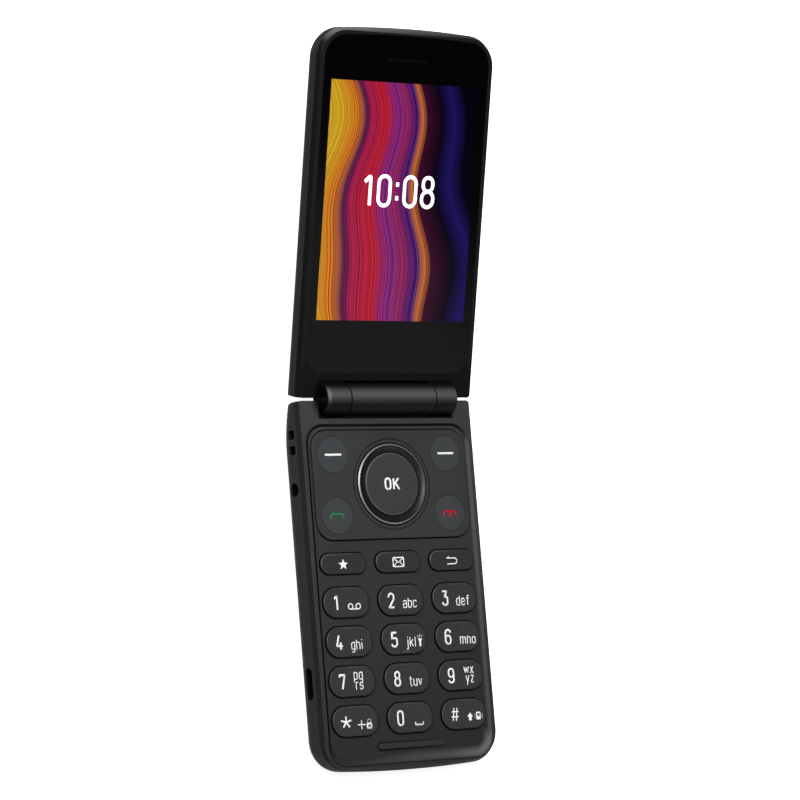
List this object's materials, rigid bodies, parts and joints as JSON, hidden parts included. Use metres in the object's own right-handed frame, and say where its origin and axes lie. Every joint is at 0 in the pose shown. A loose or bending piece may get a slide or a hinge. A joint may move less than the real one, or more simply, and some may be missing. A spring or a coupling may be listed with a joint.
{
  "type": "flip phone",
  "caption": "Open clamshell mobile phone with a sprung keypad, a round rocking navigation ring and a display lid on a barrel hinge.",
  "frame": {"origin": "middle of the flat back that the keypad half rests on", "axes": "+X to the right across the keypad, +Y from the keypad towards the hinge and the open lid, +Z out of the keypad"},
  "size_m": [0.0545, 0.1867, 0.0341],
  "materials": {
    "base_casing": "fine satin moulded plastic",
    "lid_casing": "fine satin moulded plastic",
    "inner_frame": "moulded inner frame",
    "back_cover": "fine textured moulded plastic",
    "panel": "smooth satin film",
    "round_key": "smooth satin film",
    "key": "satin caps with printed white marks",
    "ring": "dark anodised, bright cut edge",
    "select": "smooth satin cap with a bright cut edge",
    "window": "hard-coated glossy window, dark outside the picture area",
    "display": "lit picture behind the window",
    "rubber": "silicone rubber",
    "board": "coated glass-fibre board",
    "film": "metal domes under film",
    "cell": "wrapped metal can",
    "steel": "bright steel",
    "socket": "pressed steel shell",
    "dark_plastic": "black moulded plastic",
    "mesh": "fine black mesh",
    "camera_glass": "coated lens",
    "flash": "clear diffuser"
  },
  "bodies": {
    "base": {"base_front_housing": "base_casing", "base_rear_housing": "inner_frame", "battery_cover": "back_cover", "battery": "cell", "main_board": "board", "dome_sheet": "film", "key_mat": "rubber", "nav_panel": "panel", "closing_pad": "rubber", "jack_socket": "dark_plastic", "charge_socket": "socket", "shield_can": "steel", "card_holder": "steel", "vibration_motor": "steel", "microphone": "steel", "loudspeaker": "dark_plastic", "base_screws": "steel", "hinge_cartridge": "steel"},
    "lid": {"lid_front_frame": "lid_casing", "lid_rear_cover": "lid_casing", "display_lens": "window", "earpiece_mesh": "mesh", "display_module": "display", "earpiece_speaker": "dark_plastic", "lid_board": "board", "lid_screws": "steel", "outer_lens": "window", "outer_display": "display", "camera_module": "dark_plastic", "camera_ring": "ring", "camera_glass": "camera_glass", "flash_lens": "flash", "closing_magnet": "steel", "hinge_shaft": "steel", "hinge_sleeve": "steel"},
    "key_1": {"key_1": "key"},
    "key_2": {"key_2": "key"},
    "key_3": {"key_3": "key"},
    "key_4": {"key_4": "key"},
    "key_5": {"key_5": "key"},
    "key_6": {"key_6": "key"},
    "key_7": {"key_7": "key"},
    "key_8": {"key_8": "key"},
    "key_9": {"key_9": "key"},
    "key_star": {"key_star": "key"},
    "key_0": {"key_0": "key"},
    "key_hash": {"key_hash": "key"},
    "star_function_key": {"star_function_key": "key"},
    "message_key": {"message_key": "key"},
    "back_key": {"back_key": "key"},
    "soft_key_left": {"soft_key_left": "round_key"},
    "soft_key_right": {"soft_key_right": "round_key"},
    "call_key": {"call_key": "round_key"},
    "end_key": {"end_key": "round_key"},
    "select_key": {"select_key": "select"},
    "nav_ring_pad": {"nav_ring_pad": "rubber"},
    "nav_ring": {"nav_ring": "ring"},
    "volume_key": {"volume_key": "key"}
  },
  "joints": [
    {"name": "lid_hinge", "type": "hinge", "parent": "base", "child": "lid", "pos_m": [0, 0.04723, 0.01], "axis": [1, 0, 0], "range_deg": [0, 165]},
    {"name": "key_1_press", "type": "slide", "parent": "base", "child": "key_1", "axis": [0, 0, -1], "range_m": [0, 0.00025], "stiffness_N_per_m": 800, "springref_m": -0.00005},
    {"name": "key_2_press", "type": "slide", "parent": "base", "child": "key_2", "axis": [0, 0, -1], "range_m": [0, 0.00025], "stiffness_N_per_m": 800, "springref_m": -0.00005},
    {"name": "key_3_press", "type": "slide", "parent": "base", "child": "key_3", "axis": [0, 0, -1], "range_m": [0, 0.00025], "stiffness_N_per_m": 800, "springref_m": -0.00005},
    {"name": "key_4_press", "type": "slide", "parent": "base", "child": "key_4", "axis": [0, 0, -1], "range_m": [0, 0.00025], "stiffness_N_per_m": 800, "springref_m": -0.00005},
    {"name": "key_5_press", "type": "slide", "parent": "base", "child": "key_5", "axis": [0, 0, -1], "range_m": [0, 0.00025], "stiffness_N_per_m": 800, "springref_m": -0.00005},
    {"name": "key_6_press", "type": "slide", "parent": "base", "child": "key_6", "axis": [0, 0, -1], "range_m": [0, 0.00025], "stiffness_N_per_m": 800, "springref_m": -0.00005},
    {"name": "key_7_press", "type": "slide", "parent": "base", "child": "key_7", "axis": [0, 0, -1], "range_m": [0, 0.00025], "stiffness_N_per_m": 800, "springref_m": -0.00005},
    {"name": "key_8_press", "type": "slide", "parent": "base", "child": "key_8", "axis": [0, 0, -1], "range_m": [0, 0.00025], "stiffness_N_per_m": 800, "springref_m": -0.00005},
    {"name": "key_9_press", "type": "slide", "parent": "base", "child": "key_9", "axis": [0, 0, -1], "range_m": [0, 0.00025], "stiffness_N_per_m": 800, "springref_m": -0.00005},
    {"name": "key_star_press", "type": "slide", "parent": "base", "child": "key_star", "axis": [0, 0, -1], "range_m": [0, 0.00025], "stiffness_N_per_m": 800, "springref_m": -0.00005},
    {"name": "key_0_press", "type": "slide", "parent": "base", "child": "key_0", "axis": [0, 0, -1], "range_m": [0, 0.00025], "stiffness_N_per_m": 800, "springref_m": -0.00005},
    {"name": "key_hash_press", "type": "slide", "parent": "base", "child": "key_hash", "axis": [0, 0, -1], "range_m": [0, 0.00025], "stiffness_N_per_m": 800, "springref_m": -0.00005},
    {"name": "star_function_key_press", "type": "slide", "parent": "base", "child": "star_function_key", "axis": [0, 0, -1], "range_m": [0, 0.00025], "stiffness_N_per_m": 800, "springref_m": -0.00005},
    {"name": "message_key_press", "type": "slide", "parent": "base", "child": "message_key", "axis": [0, 0, -1], "range_m": [0, 0.00025], "stiffness_N_per_m": 800, "springref_m": -0.00005},
    {"name": "back_key_press", "type": "slide", "parent": "base", "child": "back_key", "axis": [0, 0, -1], "range_m": [0, 0.00025], "stiffness_N_per_m": 800, "springref_m": -0.00005},
    {"name": "soft_key_left_press", "type": "slide", "parent": "base", "child": "soft_key_left", "axis": [0, 0, -1], "range_m": [0, 0.00025], "stiffness_N_per_m": 800, "springref_m": -0.00005},
    {"name": "soft_key_right_press", "type": "slide", "parent": "base", "child": "soft_key_right", "axis": [0, 0, -1], "range_m": [0, 0.00025], "stiffness_N_per_m": 800, "springref_m": -0.00005},
    {"name": "call_key_press", "type": "slide", "parent": "base", "child": "call_key", "axis": [0, 0, -1], "range_m": [0, 0.00025], "stiffness_N_per_m": 800, "springref_m": -0.00005},
    {"name": "end_key_press", "type": "slide", "parent": "base", "child": "end_key", "axis": [0, 0, -1], "range_m": [0, 0.00025], "stiffness_N_per_m": 800, "springref_m": -0.00005},
    {"name": "select_press", "type": "slide", "parent": "base", "child": "select_key", "axis": [0, 0, -1], "range_m": [0, 0.00025], "stiffness_N_per_m": 800, "springref_m": -0.00005},
    {"name": "ring_tip_sideways", "type": "hinge", "parent": "base", "child": "nav_ring_pad", "pos_m": [0, 0.02538, 0.0074], "axis": [0, 1, 0], "range_deg": [-1, 1], "stiffness_Nm_per_rad": 0.05},
    {"name": "ring_tip_lengthways", "type": "hinge", "parent": "nav_ring_pad", "child": "nav_ring", "pos_m": [0, 0.02538, 0.0079], "axis": [1, 0, 0], "range_deg": [-1, 1], "stiffness_Nm_per_rad": 0.05},
    {"name": "volume_rock", "type": "hinge", "parent": "base", "child": "volume_key", "pos_m": [0.025, 0.02622, 0.0058], "axis": [0, 0, 1], "range_deg": [-1.5, 1.5], "stiffness_Nm_per_rad": 0.05}
  ]
}
